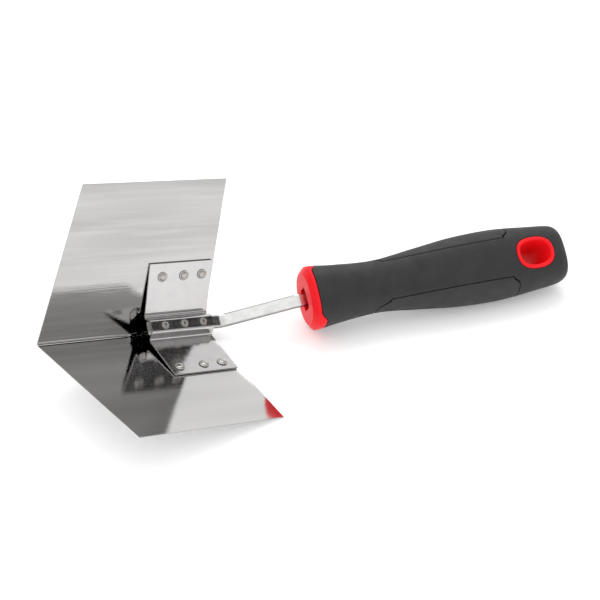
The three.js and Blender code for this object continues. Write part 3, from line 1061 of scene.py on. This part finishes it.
def rectangle(name, width, height):
    """A flat rectangle in metres about its own origin."""
    mesh = bpy.data.meshes.new(name)
    corners = [(x * width / 2, y * height / 2, 0)
               for x, y in ((-1, -1), (1, -1), (1, 1), (-1, 1))]
    mesh.from_pydata(corners, [], [(0, 1, 2, 3)])
    made = bpy.data.objects.new(name, mesh)
    bpy.context.scene.collection.objects.link(made)
    return made


def floor():
    """White paper, which glows a little so that it is nearly as white as the world behind it."""
    made = rectangle("floor", 8.0, 8.0)
    paper = Finish("floor_paper", (0.95, 0.95, 0.95), 0.9)
    paper.set(Emission_Color=(1, 1, 1, 1), Emission_Strength=0.2)
    paper.mottle(paper.noise(40, 3), (0.94, 0.94, 0.94))
    made.data.materials.append(paper.material)


def towards(made, azimuth, elevation, distance):
    """Sets a light or card at a direction from the blade's middle, in degrees, facing it."""
    around, above = math.radians(azimuth), math.radians(elevation)
    away = Vector((math.cos(around) * math.cos(above), math.sin(around) * math.cos(above),
                   math.sin(above)))
    made.location = BLADE_MIDDLE + away * distance
    made.rotation_mode = "QUATERNION"
    made.rotation_quaternion = (-away).to_track_quat("-Z", "Y")


def soft_light(name, azimuth, elevation, distance, size, glow):
    """A square soft box of an even glow."""
    data = bpy.data.lights.new(name, "AREA")
    data.shape = "SQUARE"
    data.size = size
    data.energy = glow * math.pi * size * size
    made = bpy.data.objects.new(name, data)
    bpy.context.scene.collection.objects.link(made)
    towards(made, azimuth, elevation, distance)


def reflection_card(name, azimuth, elevation, distance, size, brightness):
    """A card that only glossy surfaces see; it stands for the darker side of the studio."""
    made = rectangle(name, *size)
    towards(made, azimuth, elevation, distance)
    surface = bpy.data.materials.new(name)
    surface.use_nodes = True
    surface.node_tree.nodes.clear()
    glow = surface.node_tree.nodes.new("ShaderNodeEmission")
    glow.inputs["Color"].default_value = (brightness, brightness, brightness, 1)
    output = surface.node_tree.nodes.new("ShaderNodeOutputMaterial")
    surface.node_tree.links.new(glow.outputs["Emission"], output.inputs["Surface"])
    made.data.materials.append(surface)
    made.visible_camera = False
    made.visible_diffuse = False
    made.visible_shadow = False
    made.visible_transmission = False


def studio():
    """A white world, two soft lights, and the cards that the steel mirrors."""
    world = bpy.data.worlds.new("studio")
    bpy.context.scene.world = world
    world.use_nodes = True
    background = world.node_tree.nodes["Background"]
    background.inputs["Color"].default_value = (1, 1, 1, 1)
    background.inputs["Strength"].default_value = 1.0
    soft_light("key", azimuth=50, elevation=55, distance=1.5, size=0.9, glow=2.4)
    soft_light("fill", azimuth=-150, elevation=54, distance=1.4, size=1.1, glow=0.16)
    reflection_card("dark_card", azimuth=-24, elevation=40, distance=2.8, size=(1.1, 1.1),
                    brightness=0.04)
    reflection_card("grey_card", azimuth=-58, elevation=22, distance=3.0, size=(2.3, 2.0),
                    brightness=0.62)
    bpy.context.scene.view_settings.view_transform = "Standard"
    bpy.context.scene.view_settings.look = "None"


# ------------------------------------------------------------------ the tool

camera()
floor()
studio()

rivet_finish = rivet_steel()
pad_finish = pad_rubber()
core_finish = core_plastic()

finish_piece(blade(), blade_steel(), "blade_steel", "blade")
finish_piece(bracket(), bracket_steel(), "bracket_steel", "bracket")
finish_piece(shank(), zinc_bar(), "shank_steel", "shank")
for side_name, rivet_row in WING_ROWS.items():
    for number, spot in enumerate(rivet_row["places"], 1):
        rivet = wing_rivet(f"rivet_{side_name}_{number}", rivet_row, spot)
        finish_piece(rivet, rivet_finish, "rivet_steel", f"wing_rivet_{side_name}_{number}")
for number, spot in enumerate(TANG_RIVETS, 1):
    rivet = tang_rivet(f"rivet_tang_{number}", spot)
    finish_piece(rivet, rivet_finish, "rivet_steel", f"tang_rivet_{number}")
finish_piece(handle_core(), core_finish, "core_plastic", "handle_core")
finish_piece(hang_hole_liner(), core_finish, "core_plastic")
finish_piece(sleeve(), grip_rubber(), "grip_rubber", "grip_sleeve")
for side_name, side_sign in (("left", 1), ("right", -1)):
    pad = side_pad(f"pad_{side_name}", side_sign)
    finish_piece(pad, pad_finish, "pad_rubber", f"side_pad_{side_name}")
